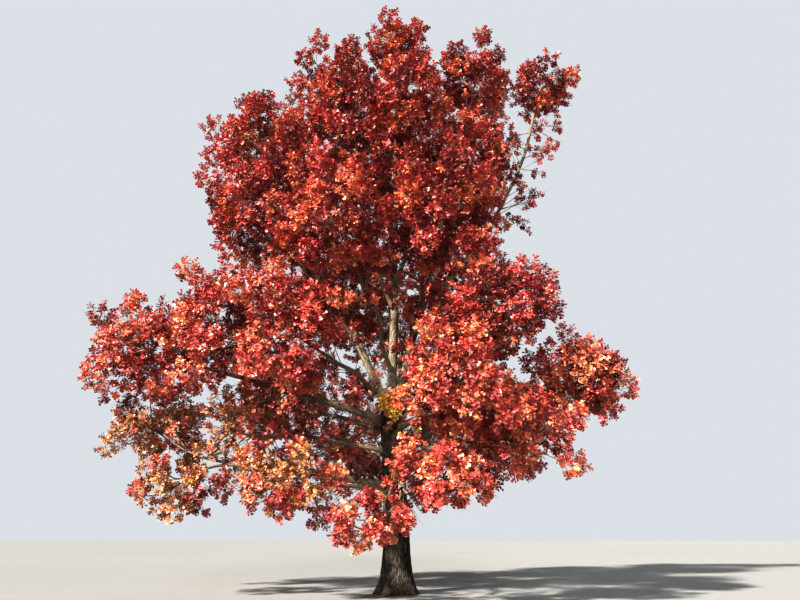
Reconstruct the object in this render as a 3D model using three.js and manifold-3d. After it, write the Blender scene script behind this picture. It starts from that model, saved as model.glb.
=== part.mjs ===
import * as THREE from "three";
import { mergeVertices } from "three/addons/utils/BufferGeometryUtils.js";
import Module from "manifold-3d";

// A grown scarlet oak in autumn leaf, standing rooted: a short leaning trunk that forks low, boughs that
// sweep out and up from it, and one mass of foliage at the end of each bough or of each fork of a bough.
// Millimetres, +Z up. The origin is the middle of the trunk's flat cut at ground level. The side that
// is photographed faces -Y, so +X is to its right. Bearings are degrees anticlockwise from +X, from above.

// Driving dimensions
const GROUND = 0;
const JOINT_GAP = 0.3; // between a limb and what carries it
const FINEST = { limb: 0.1, foliage: 1 }; // details below these sizes are smoothed away
const TRUNK = {
  height: 5500, // ground to fork
  footRadius: 416, // of the plain taper, without the flare
  forkRadius: 315,
  flare: 250, // what the roots' flare adds to the radius at the ground
  flareHeight: 420,
  buttresses: 5,
  buttressDepth: 75,
  lean: 260, // how far the fork stands off the foot
  leanBearing: 184,
  sides: 20,
  rings: 9,
  bunching: 1.7, // the rings stand closer together near the ground, where the flare is
};
const BOUGH = {
  sides: 6,
  ringLength: 1000,
  fewestRings: 4,
  tipRadius: 54,
  forkedTipRadius: 104, // where two stems leave one tip
  taper: 0.8, // exponent: below 1 the limb thins late
  footPull: 0.36, // share of the length over which the foot's direction holds
  tipPull: 0.3,
  entry: 0.84, // share of a mass's half-size at which its bough ends
  wander: 0.035, // sideways swing as a share of the length
};
const STEM = {
  sides: 3,
  rings: 3,
  radius: 48,
  tipRadius: 28,
  onward: 0.55, // share of the way to the mass's middle over which the bough's direction holds
  overshoot: 0.34, // how far past the middle of the mass it runs
  reach: 0.5,
  apart: 52, // of two stems on one tip, from the tip's middle
  last: 0.97, // share of its length at which its last leaf starts
};
const TWIG = {
  perMass: 8,
  rings: 2,
  radius: 15,
  tipRadius: 12,
  reach: 0.42, // share of the mass's half-size at which its last leaf takes over
  scatter: 0.08, // of the reach, either way
  turn: 0.5, // radians of scatter round the mass
  firstFoot: 0.3, // shares of the stem between which the twigs stand
  lastFoot: 0.9,
  turnedBack: -0.8, // no twig grows back towards the bough beyond this
  bend: 0.4,
  sweep: 0.36, // how far the stem's direction carries the bend
  shorter: [1, 0.78, 0.56], // lengths tried in turn where the full one leaves the space
};
const LEAF = {
  longest: 1900,
  shortest: 0.24, // of the mass's half-size across
  shrink: 0.86,
  width: 0.9, // of its length
  thickness: 0.024,
  widest: 0.5,
  stalk: 5, // radius where it leaves its twig
  place: 0.58, // share of a twig's length at which the side leaves stand
  spread: 0.95, // radians off the twig
  outward: 0.9, // how far the face turns out of the mass rather than up
  clear: 16, // from any limb
};
const OWN_SPACE_MARGIN = 0.012; // in shares of a mass's half-size
const GOLDEN_ANGLE = Math.PI * (3 - Math.sqrt(5));

// Boughs: what each grows from and how far along, the rise of its first and last stretch above the level
// in degrees, and its radius at the foot. One that forks stops short, at a share of the way to its masses.
const BOUGHS = {
  leader_left: { from: "trunk", at: 0.955, rise: 66, ends: 58, radius: 140 },
  leader_centre: { from: "trunk", at: 0.96, rise: 86, ends: 84, radius: 160 },
  leader_right: { from: "trunk", at: 0.955, rise: 70, ends: 72, radius: 140 },
  leader_back: { from: "trunk", at: 0.945, rise: 62, ends: 66, radius: 130 },
  big_left: { from: "trunk", at: 0.9, rise: 18, ends: 14, radius: 122 },
  low_left_long: { from: "trunk", at: 0.54, rise: 12, ends: 4, radius: 108, runs: 0.72 },
  low_left_short: { from: "trunk", at: 0.74, rise: 6, ends: -6, radius: 76 },
  low_left_near: { from: "trunk", at: 0.5, rise: 10, ends: -8, radius: 74 },
  front_low: { from: "trunk", at: 0.6, rise: 8, ends: -22, radius: 106, runs: 0.66 },
  front: { from: "trunk", at: 0.8, rise: 16, ends: 0, radius: 88 },
  right_low: { from: "trunk", at: 0.68, rise: 12, ends: -2, radius: 82 },
  right: { from: "trunk", at: 0.86, rise: 20, ends: 4, radius: 92 },
  right_up: { from: "leader_right", at: 0.08, rise: 26, ends: 10, radius: 78 },
  back_right_low: { from: "trunk", at: 0.76, rise: 22, ends: 8, radius: 90 },
  back_low: { from: "trunk", at: 0.7, rise: 26, ends: 8, radius: 92 },
  back_left_low: { from: "trunk", at: 0.83, rise: 24, ends: 10, radius: 94 },
  left_upper: { from: "big_left", at: 0.34, rise: 32, ends: 18, radius: 74 },
  left_front_up: { from: "leader_left", at: 0.06, rise: 24, ends: 12, radius: 80 },
  left_mid: { from: "leader_left", at: 0.3, rise: 36, ends: 22, radius: 70 },
  left_high: { from: "leader_centre", at: 0.5, rise: 66, ends: 66, radius: 70 },
  front_left_high: { from: "leader_centre", at: 0.27, rise: 52, ends: 48, radius: 74 },
  front_mid: { from: "leader_centre", at: 0.1, rise: 38, ends: 22, radius: 74 },
  front_high: { from: "leader_centre", at: 0.4, rise: 54, ends: 50, radius: 70 },
  right_mid: { from: "leader_right", at: 0.19, rise: 40, ends: 26, radius: 72 },
  right_high: { from: "leader_right", at: 0.42, rise: 46, ends: 48, radius: 66 },
  right_shoulder: { from: "leader_right", at: 0.32, rise: 44, ends: 78, radius: 68 },
  back_left_mid: { from: "leader_back", at: 0.26, rise: 42, ends: 34, radius: 74 },
  back_right_mid: { from: "leader_back", at: 0.2, rise: 40, ends: 32, radius: 74 },
};

// Masses of foliage: what carries each, its middle as a bearing, a distance from the trunk's foot and a
// height, and its half-sizes outwards, across and upwards.
const MASSES = {
  far_left: { on: "big_left", at: [187, 7850, 7050], half: [2050, 2000, 1900] },
  left_front: { on: "left_upper", at: [204, 5750, 7400], half: [1900, 2150, 1900] },
  left_inner: { on: "left_front_up", at: [229, 4750, 7100], half: [1950, 2050, 1950] },
  low_far_left: { on: "low_left_long", at: [175, 7750, 5000], half: [1750, 1850, 1350] },
  low_left: { on: "low_left_short", at: [187, 4950, 4650], half: [1750, 1850, 1500] },
  low_left_fringe: { on: "low_left_long", at: [195, 6300, 2850], half: [1700, 1650, 950] },
  low_left_front: { on: "low_left_near", at: [227, 4350, 2950], half: [1750, 1700, 1050] },
  shoulder_left: { on: "leader_left", at: [178, 5150, 15100], half: [2050, 2000, 2300] },
  mid_left: { on: "left_mid", at: [199, 4900, 11500], half: [1850, 2000, 2050] },
  high_left: { on: "left_high", at: [170, 2350, 17950], half: [1700, 1900, 2000] },
  upper_front_left: { on: "front_left_high", at: [221, 3300, 13400], half: [1950, 2000, 2200] },
  mid_front: { on: "front_mid", at: [251, 4800, 9850], half: [1950, 2000, 1950] },
  top: { on: "leader_centre", at: [0, 100, 19300], half: [1250, 1350, 1750] },
  upper_front: { on: "front_high", at: [275, 2300, 15000], half: [1900, 1900, 2150] },
  mid_front_right: { on: "right_mid", at: [285, 4500, 10200], half: [1900, 2000, 2100] },
  high_right: { on: "leader_right", at: [12, 3050, 18250], half: [1850, 1750, 1950] },
  upper_right: { on: "right_high", at: [343, 2650, 13900], half: [1900, 1800, 2150] },
  shoulder_right: { on: "right_shoulder", at: [11, 6000, 18250], half: [1450, 1350, 1250] },
  right_front: { on: "right_up", at: [303, 5000, 7250], half: [1750, 1850, 1550] },
  low_front: { on: "front", at: [287, 5300, 5100], half: [1850, 1700, 1600] },
  far_right: { on: "right", at: [330, 5950, 5650], half: [1600, 1650, 1450] },
  low_right: { on: "right_low", at: [307, 5150, 4000], half: [1650, 1500, 1200] },
  low_front_skirt: { on: "front_low", at: [283, 4900, 2950], half: [1650, 1700, 950] },
  front_drip: { on: "front_low", at: [263, 4400, 1850], half: [1150, 1200, 800] },
  back_low_right: { on: "back_right_low", at: [38, 5000, 5650], half: [1950, 2200, 1900] },
  back_low: { on: "back_low", at: [100, 5200, 5250], half: [2150, 2750, 2450] },
  back_low_left: { on: "back_left_low", at: [136, 5900, 6300], half: [2100, 2250, 1950] },
  back_mid_right: { on: "back_right_mid", at: [53, 4900, 10500], half: [2050, 2300, 2300] },
  back_mid_left: { on: "back_left_mid", at: [115, 5000, 10800], half: [2100, 2300, 2350] },
  back_high: { on: "leader_back", at: [83, 3500, 15600], half: [2000, 2100, 2300] },
  trunk_sprouts: { on: "trunk", at: [272, 950, 5350], half: [620, 640, 520] },
};

const bark = new THREE.MeshStandardMaterial({ color: 0x5a5044, roughness: 0.9, metalness: 0 });
const scarlet = new THREE.MeshStandardMaterial({ color: 0xa6241f, roughness: 0.55, metalness: 0 });
const russet = new THREE.MeshStandardMaterial({ color: 0xb8561f, roughness: 0.55, metalness: 0 });
const gold = new THREE.MeshStandardMaterial({ color: 0xd29a2c, roughness: 0.55, metalness: 0 });
const TURNED = {
  low_far_left: russet,
  low_left: russet,
  low_left_fringe: russet,
  low_left_front: russet,
  trunk_sprouts: gold,
};

const UP = new THREE.Vector3(0, 0, 1);
const EAST = new THREE.Vector3(1, 0, 0);
const { lerp, degToRad, radToDeg } = THREE.MathUtils;

function compass(bearing, rise = 0) {
  const [b, r] = [degToRad(bearing), degToRad(rise)];
  return new THREE.Vector3(Math.cos(r) * Math.cos(b), Math.cos(r) * Math.sin(b), Math.sin(r));
}

// The same run of numbers from 0 to 1 for the same seed, from a linear congruential generator.
function seeded(seed) {
  let state = (seed * 7919 + 17) >>> 0;
  return () => {
    state = (Math.imul(state, 1664525) + 1013904223) >>> 0;
    return state / 2 ** 32;
  };
}

// Curves
// A limb's middle line: a cubic curve with a slow swing to one side and back.
class LimbCurve extends THREE.Curve {
  constructor(foot, footWay, tip, tipWay, swing) {
    super();
    const span = foot.distanceTo(tip);
    const leaves = foot.clone().addScaledVector(footWay, span * BOUGH.footPull);
    const arrives = tip.clone().addScaledVector(tipWay, -span * BOUGH.tipPull);
    this.base = new THREE.CubicBezierCurve3(foot, leaves, arrives, tip);
    this.side = tip.clone().sub(foot).cross(UP).normalize().multiplyScalar(span * swing);
  }

  getPoint(t, target = new THREE.Vector3()) {
    const swing = Math.sin(Math.PI * t) ** 2 * Math.sin(3 * Math.PI * t);
    return target.copy(this.base.getPoint(t)).addScaledVector(this.side, swing);
  }
}

// The trunk's middle line, upright at the foot and leaning as it rises.
class TrunkCurve extends THREE.Curve {
  getPoint(t, target = new THREE.Vector3()) {
    target.copy(compass(TRUNK.leanBearing)).multiplyScalar(TRUNK.lean * t * t);
    return target.setZ(GROUND + TRUNK.height * t);
  }
}

// Solids
const wasm = await Module();
wasm.setup();

function solidOf(geometry) {
  const bare = geometry.clone();
  bare.deleteAttribute("normal");
  bare.deleteAttribute("uv");
  const merged = mergeVertices(bare, 1e-3);
  const vertProperties = merged.attributes.position.array;
  const triVerts = new Uint32Array(merged.index.array);
  return new wasm.Manifold(new wasm.Mesh({ numProp: 3, vertProperties, triVerts }));
}

function geometryOf(solid) {
  const { numProp, vertProperties, triVerts } = solid.getMesh();
  const geometry = new THREE.BufferGeometry();
  geometry.setAttribute("position", new THREE.Float32BufferAttribute(vertProperties, numProp));
  geometry.setIndex(new THREE.BufferAttribute(triVerts, 1));
  geometry.computeVertexNormals();
  return geometry;
}

// The largest piece of a solid, without its finest slivers: a loose scrap or a sealed hollow is dropped.
function largestPiece(solid, finest) {
  return solid
    .simplify(finest)
    .decompose()
    .reduce((a, b) => (b.volume() > a.volume() ? b : a));
}

// A closed tube round a curve: a unit cylinder whose rings are moved on to the curve and sized there.
function tube(curve, radiusAt, sides, rings) {
  const geometry = new THREE.CylinderGeometry(1, 1, 1, sides, rings);
  const { normals, binormals } = curve.computeFrenetFrames(rings);
  const position = geometry.attributes.position;
  for (let i = 0; i < position.count; i++) {
    const ring = Math.round((position.getY(i) + 0.5) * rings);
    const radius = radiusAt(ring / rings);
    const point = curve.getPointAt(ring / rings);
    point.addScaledVector(normals[ring], position.getX(i) * radius);
    point.addScaledVector(binormals[ring], -position.getZ(i) * radius);
    position.setXYZ(i, point.x, point.y, point.z);
  }
  return solidOf(geometry);
}

function tapered(foot, tip, extra = 0) {
  return (t) => tip + (foot - tip) * (1 - t) ** BOUGH.taper + extra;
}

// Trunk
function trunkRadius(t, angle) {
  const flare = TRUNK.flare + TRUNK.buttressDepth * Math.cos(TRUNK.buttresses * angle);
  const fade = Math.exp((-t * TRUNK.height) / TRUNK.flareHeight);
  return lerp(TRUNK.footRadius, TRUNK.forkRadius, t) + flare * fade;
}

function trunkSolid(extra) {
  const geometry = new THREE.CylinderGeometry(1, 1, 1, TRUNK.sides, TRUNK.rings);
  const curve = new TrunkCurve();
  const position = geometry.attributes.position;
  for (let i = 0; i < position.count; i++) {
    const [x, y] = [position.getX(i), -position.getZ(i)];
    const t = (position.getY(i) + 0.5) ** TRUNK.bunching;
    const radius = trunkRadius(t, Math.atan2(y, x)) + extra;
    const point = curve.getPoint(t);
    position.setXYZ(i, point.x + x * radius, point.y + y * radius, point.z + (t === 1 ? extra : 0));
  }
  return solidOf(geometry);
}

// Each limb keeps its middle line, its solid, and two wider solids: one that later limbs are cut by, and
// one that foliage stays out of.
const limbs = new Map();
limbs.set("trunk", {
  curve: new TrunkCurve(),
  solid: trunkSolid(0),
  cutter: trunkSolid(JOINT_GAP),
  keepOut: trunkSolid(LEAF.clear),
});

// Spaces of the masses
function space({ at: [bearing, distance, height], half }) {
  const middle = compass(bearing).multiplyScalar(distance).setZ(height);
  const axes = [compass(bearing), compass(bearing + 90), UP];
  return {
    middle,
    // The place of a point in the mass: 0 in the middle and 1 on the outline.
    depthOf: (point) => {
      const away = point.clone().sub(middle);
      return Math.hypot(...axes.map((axis, i) => away.dot(axis) / half[i]));
    },
    at: (...shares) => {
      const point = middle.clone();
      shares.forEach((share, i) => point.addScaledVector(axes[i], share * half[i]));
      return point;
    },
  };
}

const spaces = Object.fromEntries(Object.entries(MASSES).map(([name, row]) => [name, space(row)]));

// A mass owns the points inside its outline that lie deeper in it than in any other mass.
function owns(name, point) {
  const own = spaces[name].depthOf(point);
  const isDeeper = (other) => other === name || spaces[other].depthOf(point) > own + OWN_SPACE_MARGIN;
  return own <= 1 && Object.keys(spaces).every(isDeeper);
}

// Boughs
function massesOn(bough) {
  return Object.keys(MASSES).filter((name) => MASSES[name].on === bough);
}

function boughTip(name, foot) {
  const carried = massesOn(name);
  const middle = new THREE.Vector3();
  carried.forEach((mass) => middle.addScaledVector(spaces[mass].middle, 1 / carried.length));
  if (BOUGHS[name].runs) return foot.clone().lerp(middle, BOUGHS[name].runs);
  const outline = foot.clone().sub(middle);
  return middle.addScaledVector(outline, BOUGH.entry / spaces[carried[0]].depthOf(foot));
}

function makeBough(name, index) {
  const row = BOUGHS[name];
  const foot = limbs.get(row.from).curve.getPointAt(row.at);
  const tip = boughTip(name, foot);
  const bearing = radToDeg(Math.atan2(tip.y - foot.y, tip.x - foot.x));
  const swing = BOUGH.wander * (index % 2 ? 1 : -1);
  const curve = new LimbCurve(foot, compass(bearing, row.rise), tip, compass(bearing, row.ends), swing);
  const tipRadius = row.runs ? BOUGH.forkedTipRadius : BOUGH.tipRadius;
  const rings = Math.max(BOUGH.fewestRings, Math.round(curve.getLength() / BOUGH.ringLength));
  const made = (extra) => tube(curve, tapered(row.radius, tipRadius, extra), BOUGH.sides, rings);
  let solid = made(0);
  for (const { cutter } of limbs.values()) solid = solid.subtract(cutter);
  limbs.set(name, {
    curve,
    solid: largestPiece(solid, FINEST.limb),
    cutter: made(JOINT_GAP),
    keepOut: made(LEAF.clear),
  });
}

Object.keys(BOUGHS).forEach(makeBough);

// Stems
// A stem leaves its foot the way that is given and runs on past the middle of its mass.
function stemCurve(name, foot, way) {
  const { middle, depthOf } = spaces[name];
  const tip = middle.clone().addScaledVector(middle.clone().sub(foot), STEM.overshoot);
  while (depthOf(tip) > STEM.reach || !owns(name, tip)) tip.lerp(middle, 0.1);
  const bend = foot.clone().addScaledVector(way, foot.distanceTo(middle) * STEM.onward);
  return new THREE.QuadraticBezierCurve3(foot, bend, tip);
}

// The stem that stands on a bough's tip, or beside another stem on it.
function stemOnBough(name, bough) {
  const { curve: carrier } = limbs.get(bough);
  const way = carrier.getTangentAt(1);
  const foot = carrier.getPointAt(1).addScaledVector(way, JOINT_GAP);
  if (BOUGHS[bough].runs) {
    const side = spaces[name].middle.clone().sub(foot).projectOnPlane(way);
    foot.addScaledVector(side.normalize(), STEM.apart);
  }
  const curve = stemCurve(name, foot, way);
  return { curve, solid: tube(curve, tapered(STEM.radius, STEM.tipRadius), STEM.sides, STEM.rings) };
}

// The stem that leaves the trunk's side, cut clear of it.
function stemOnTrunk(name) {
  const { middle } = spaces[name];
  const { curve: carrier, cutter } = limbs.get("trunk");
  const foot = carrier.getPoint(middle.z / TRUNK.height - 0.02);
  const curve = stemCurve(name, foot, middle.clone().sub(foot).normalize());
  const solid = tube(curve, tapered(STEM.radius, STEM.tipRadius), STEM.sides, STEM.rings);
  return { curve, solid: largestPiece(solid.subtract(cutter), FINEST.limb) };
}

const stems = {};
for (const [name, { on }] of Object.entries(MASSES)) {
  stems[name] = on === "trunk" ? stemOnTrunk(name) : stemOnBough(name, on);
}

// Twigs and leaves
function meets(a, b) {
  const [p, q] = [a.boundingBox(), b.boundingBox()];
  const boxesMeet = [0, 1, 2].every((i) => p.min[i] <= q.max[i] && q.min[i] <= p.max[i]);
  return boxesMeet && !a.intersect(b).isEmpty();
}

const masses = new Map();

// Whether a twig or leaf of a mass touches no limb, no other stem and no mass made so far.
function isClear(name, solid) {
  const limbSolids = [...limbs.values()].map(({ keepOut }) => keepOut);
  const otherStems = Object.keys(stems).filter((other) => other !== name);
  const others = [...limbSolids, ...otherStems.map((other) => stems[other].solid), ...masses.values()];
  return !others.some((other) => meets(solid, other));
}

// Twig number k of a mass: the twigs' ends lie evenly over the mass on a golden spiral.
function twigCurve(name, k, random) {
  const { curve: stem } = stems[name];
  const { middle, at } = spaces[name];
  const level = 1 - (2 * k + 1) / TWIG.perMass;
  const ring = Math.sqrt(1 - level * level);
  const turn = k * GOLDEN_ANGLE + random() * TWIG.turn;
  const reach = TWIG.reach * (1 + TWIG.scatter * (2 * random() - 1));
  const end = at(ring * Math.cos(turn) * reach, ring * Math.sin(turn) * reach, level * reach);
  const onward = end.clone().sub(middle).normalize().dot(stem.getTangent(0.5));
  if (onward < TWIG.turnedBack) return null;
  const share = lerp(TWIG.firstFoot, TWIG.lastFoot, (1 + onward) / 2);
  const foot = stem.getPoint(share);
  const tips = TWIG.shorter.map((length) => foot.clone().lerp(end, length));
  const tip = tips.find((point) => owns(name, point));
  if (!tip) return null;
  const bend = foot.clone().lerp(tip, TWIG.bend);
  bend.addScaledVector(stem.getTangent(share), foot.distanceTo(tip) * TWIG.sweep);
  return new THREE.QuadraticBezierCurve3(foot, bend, tip);
}

// A closed spindle of three sides: a cone whose rings are moved to the given places. Each ring has its
// point, its way, its half-width and its rise above the point, and the last ring is the tip.
function spindle(rings, face) {
  const geometry = new THREE.ConeGeometry(1, 1, 3, rings.length - 1);
  const position = geometry.attributes.position;
  for (let i = 0; i < position.count; i++) {
    const ring = rings[Math.round((position.getY(i) + 0.5) * (rings.length - 1))];
    const across = new THREE.Vector3().crossVectors(ring.way, face).normalize();
    const upright = new THREE.Vector3().crossVectors(across, ring.way);
    const angle = Math.atan2(position.getX(i), position.getZ(i));
    const isMiddle = Math.hypot(position.getX(i), position.getZ(i)) < 1e-9;
    const point = ring.point.clone();
    if (!isMiddle) point.addScaledVector(across, Math.sin(angle) * ring.wide);
    if (!isMiddle) point.addScaledVector(upright, Math.cos(angle) * ring.rise);
    position.setXYZ(i, point.x, point.y, point.z);
  }
  return geometry;
}

// The last two rings of a leaf's blade: where it is widest, and its tip.
function bladeRings(root, way, length) {
  const widest = root.clone().addScaledVector(way, length * LEAF.widest);
  const tip = root.clone().addScaledVector(way, length);
  const wide = (length * LEAF.width) / Math.sqrt(3);
  return [
    { point: widest, way, wide, rise: length * LEAF.thickness },
    { point: tip, way, wide: 0, rise: 0 },
  ];
}

// The longest blade that fits after the given rings, as a solid, or none.
function fitLeaf(name, rings, face, pieces) {
  const { point: root, way } = rings.at(-1);
  const corner = new THREE.Vector3();
  const shortest = LEAF.shortest * MASSES[name].half[1];
  for (let length = LEAF.longest; length >= shortest; length *= LEAF.shrink) {
    const geometry = spindle([...rings, ...bladeRings(root, way, length)], face);
    const { position } = geometry.attributes;
    const corners = Array.from({ length: position.count }, (_, i) => i);
    if (!corners.every((i) => owns(name, corner.fromBufferAttribute(position, i)))) continue;
    const solid = solidOf(geometry);
    if (isClear(name, solid) && !pieces.some((piece) => meets(solid, piece))) return solid;
  }
  return null;
}

// The face of a leaf looks up and out of the mass, with some scatter.
function leafFace(name, root, random) {
  const out = root.clone().sub(spaces[name].middle).normalize();
  const scatter = new THREE.Vector3(random() - 0.5, random() - 0.5, random() - 0.5);
  return out.multiplyScalar(LEAF.outward).add(UP).add(scatter);
}

// A direction that leaves the given one, by an angle and towards a bearing round it.
function turnedAside(tangent, around, off) {
  const isSteep = Math.abs(tangent.z) > 0.9;
  const side = new THREE.Vector3().crossVectors(tangent, isSteep ? EAST : UP);
  side.normalize().applyAxisAngle(tangent, around);
  return tangent.clone().multiplyScalar(Math.cos(off)).addScaledVector(side, Math.sin(off)).normalize();
}

function twigRings(curve) {
  const radiusAt = tapered(TWIG.radius, TWIG.tipRadius);
  return Array.from({ length: TWIG.rings + 1 }, (_, i) => {
    const t = i / TWIG.rings;
    return { point: curve.getPoint(t), way: curve.getTangent(t), wide: radiusAt(t), rise: radiusAt(t) };
  });
}

function stalkRing(point, way) {
  return { point, way, wide: LEAF.stalk, rise: LEAF.stalk };
}

// One twig with its last leaf as one spindle, and a leaf at each side of it, as a list of solids.
function makeTwig(name, k, random, pieces) {
  const curve = twigCurve(name, k, random);
  const around = k * GOLDEN_ANGLE + random() * 2;
  if (!curve) return [];
  const twig = fitLeaf(name, twigRings(curve), leafFace(name, curve.getPoint(1), random), pieces);
  if (!twig) return [];
  const point = curve.getPoint(LEAF.place);
  const leaves = [];
  for (const side of [0, Math.PI]) {
    const way = turnedAside(curve.getTangent(LEAF.place), around + side, LEAF.spread);
    const face = leafFace(name, point, random);
    const leaf = fitLeaf(name, [stalkRing(point, way)], face, [...pieces, ...leaves]);
    if (leaf) leaves.push(leaf);
  }
  return [...leaves, twig];
}

// A mass of foliage: its stem with the twigs and leaves sunk into it and fused.
function makeMass(name, index) {
  const { curve, solid: stem } = stems[name];
  const pieces = [];
  for (let k = 0; k < TWIG.perMass; k++) {
    pieces.push(...makeTwig(name, k, seeded(index * TWIG.perMass + k), pieces));
  }
  const end = stalkRing(curve.getPoint(STEM.last), curve.getTangent(1));
  const last = fitLeaf(name, [end], leafFace(name, end.point, seeded(index)), pieces);
  if (last) pieces.push(last);
  return largestPiece(pieces.reduce((whole, piece) => whole.add(piece), stem), FINEST.foliage);
}

Object.keys(MASSES).forEach((name, index) => masses.set(name, makeMass(name, index)));

// The tree
const tree = new THREE.Group();

function addNode(name, solid, material) {
  const mesh = new THREE.Mesh(geometryOf(solid), material);
  mesh.name = name;
  tree.add(mesh);
}

for (const [name, { solid }] of limbs) addNode(name === "trunk" ? name : `bough_${name}`, solid, bark);
for (const [name, solid] of masses) addNode(`foliage_${name}`, solid, TURNED[name] ?? scarlet);

export default tree;
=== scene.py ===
"""A grown scarlet oak in autumn leaf: bark with relief on the trunk and boughs, twigs, and sprays of lobed
leaves in five autumn tints, on a plain studio floor. Metres, +Z up, the photographed side faces -Y."""
import math
from functools import lru_cache

import bpy
import numpy as np
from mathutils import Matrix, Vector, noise


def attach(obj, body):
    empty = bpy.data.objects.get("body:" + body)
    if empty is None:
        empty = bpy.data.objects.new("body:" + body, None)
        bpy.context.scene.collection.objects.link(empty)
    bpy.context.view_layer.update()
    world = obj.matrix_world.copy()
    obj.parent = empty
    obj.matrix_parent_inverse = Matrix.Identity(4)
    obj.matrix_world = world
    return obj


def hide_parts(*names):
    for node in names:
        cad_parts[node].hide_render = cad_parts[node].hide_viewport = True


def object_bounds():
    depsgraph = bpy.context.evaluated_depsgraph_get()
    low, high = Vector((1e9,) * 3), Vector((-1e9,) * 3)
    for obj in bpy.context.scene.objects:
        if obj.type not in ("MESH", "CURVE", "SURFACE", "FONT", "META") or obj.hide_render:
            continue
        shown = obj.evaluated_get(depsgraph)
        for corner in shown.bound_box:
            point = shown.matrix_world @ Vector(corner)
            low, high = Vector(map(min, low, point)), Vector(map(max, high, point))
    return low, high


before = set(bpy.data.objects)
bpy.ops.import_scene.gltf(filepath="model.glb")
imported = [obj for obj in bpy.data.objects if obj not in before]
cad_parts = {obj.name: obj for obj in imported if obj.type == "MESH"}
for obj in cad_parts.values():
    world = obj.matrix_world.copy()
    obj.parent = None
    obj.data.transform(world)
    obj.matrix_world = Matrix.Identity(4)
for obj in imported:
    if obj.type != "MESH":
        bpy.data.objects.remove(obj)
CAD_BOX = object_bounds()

bl_info = {
    "name": "Scarlet Oak",
    "version": (1, 0, 0),
    "blender": (4, 5, 0),
    "location": "3D View > Sidebar > Scarlet Oak",
    "description": "Grows a scarlet oak in autumn leaf over its framework of boughs",
    "category": "Add Mesh",
}

# Growth rule of the trunk, boughs, stems and first twigs
TRUNK = {
    "height": 5.5,
    "foot_radius": 0.416,
    "fork_radius": 0.315,
    "flare": 0.25,
    "flare_height": 0.42,
    "buttresses": 5,
    "buttress_depth": 0.075,
    "lean": 0.26,
    "lean_bearing": 184,
}
BOUGH = {
    "tip_radius": 0.054,
    "forked_tip_radius": 0.104,
    "taper": 0.8,
    "foot_pull": 0.36,
    "tip_pull": 0.3,
    "entry": 0.84,
    "wander": 0.035,
}
STEM = {
    "radius": 0.048,
    "tip_radius": 0.028,
    "onward": 0.55,
    "overshoot": 0.34,
    "reach": 0.5,
    "back_step": 0.1,
    "apart": 0.052,
    "below_middle": 0.02,
}
TWIG = {
    "per_mass": 8,
    "reach": 0.42,
    "scatter": 0.08,
    "turn": 0.5,
    "first_foot": 0.3,
    "last_foot": 0.9,
    "turned_back": -0.8,
    "bend": 0.4,
    "sweep": 0.36,
    "shorter": (1, 0.78, 0.56),
}
OWN_SPACE_MARGIN = 0.012
GOLDEN_ANGLE = math.pi * (3 - math.sqrt(5))
JOINT_GAP = 0.0003

# Boughs: what each grows from and how far along, the rise of its first and last stretch in degrees, its
# radius at the foot and, for one that forks, the share of the way to its masses at which it stops.
BOUGHS = {
    "leader_left": ("trunk", 0.955, 66, 58, 0.14, None),
    "leader_centre": ("trunk", 0.96, 86, 84, 0.16, None),
    "leader_right": ("trunk", 0.955, 70, 72, 0.14, None),
    "leader_back": ("trunk", 0.945, 62, 66, 0.13, None),
    "big_left": ("trunk", 0.9, 18, 14, 0.122, None),
    "low_left_long": ("trunk", 0.54, 12, 4, 0.108, 0.72),
    "low_left_short": ("trunk", 0.74, 6, -6, 0.076, None),
    "low_left_near": ("trunk", 0.5, 10, -8, 0.074, None),
    "front_low": ("trunk", 0.6, 8, -22, 0.106, 0.66),
    "front": ("trunk", 0.8, 16, 0, 0.088, None),
    "right_low": ("trunk", 0.68, 12, -2, 0.082, None),
    "right": ("trunk", 0.86, 20, 4, 0.092, None),
    "right_up": ("leader_right", 0.08, 26, 10, 0.078, None),
    "back_right_low": ("trunk", 0.76, 22, 8, 0.09, None),
    "back_low": ("trunk", 0.7, 26, 8, 0.092, None),
    "back_left_low": ("trunk", 0.83, 24, 10, 0.094, None),
    "left_upper": ("big_left", 0.34, 32, 18, 0.074, None),
    "left_front_up": ("leader_left", 0.06, 24, 12, 0.08, None),
    "left_mid": ("leader_left", 0.3, 36, 22, 0.07, None),
    "left_high": ("leader_centre", 0.5, 66, 66, 0.07, None),
    "front_left_high": ("leader_centre", 0.27, 52, 48, 0.074, None),
    "front_mid": ("leader_centre", 0.1, 38, 22, 0.074, None),
    "front_high": ("leader_centre", 0.4, 54, 50, 0.07, None),
    "right_mid": ("leader_right", 0.19, 40, 26, 0.072, None),
    "right_high": ("leader_right", 0.42, 46, 48, 0.066, None),
    "right_shoulder": ("leader_right", 0.32, 44, 78, 0.068, None),
    "back_left_mid": ("leader_back", 0.26, 42, 34, 0.074, None),
    "back_right_mid": ("leader_back", 0.2, 40, 32, 0.074, None),
}

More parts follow.
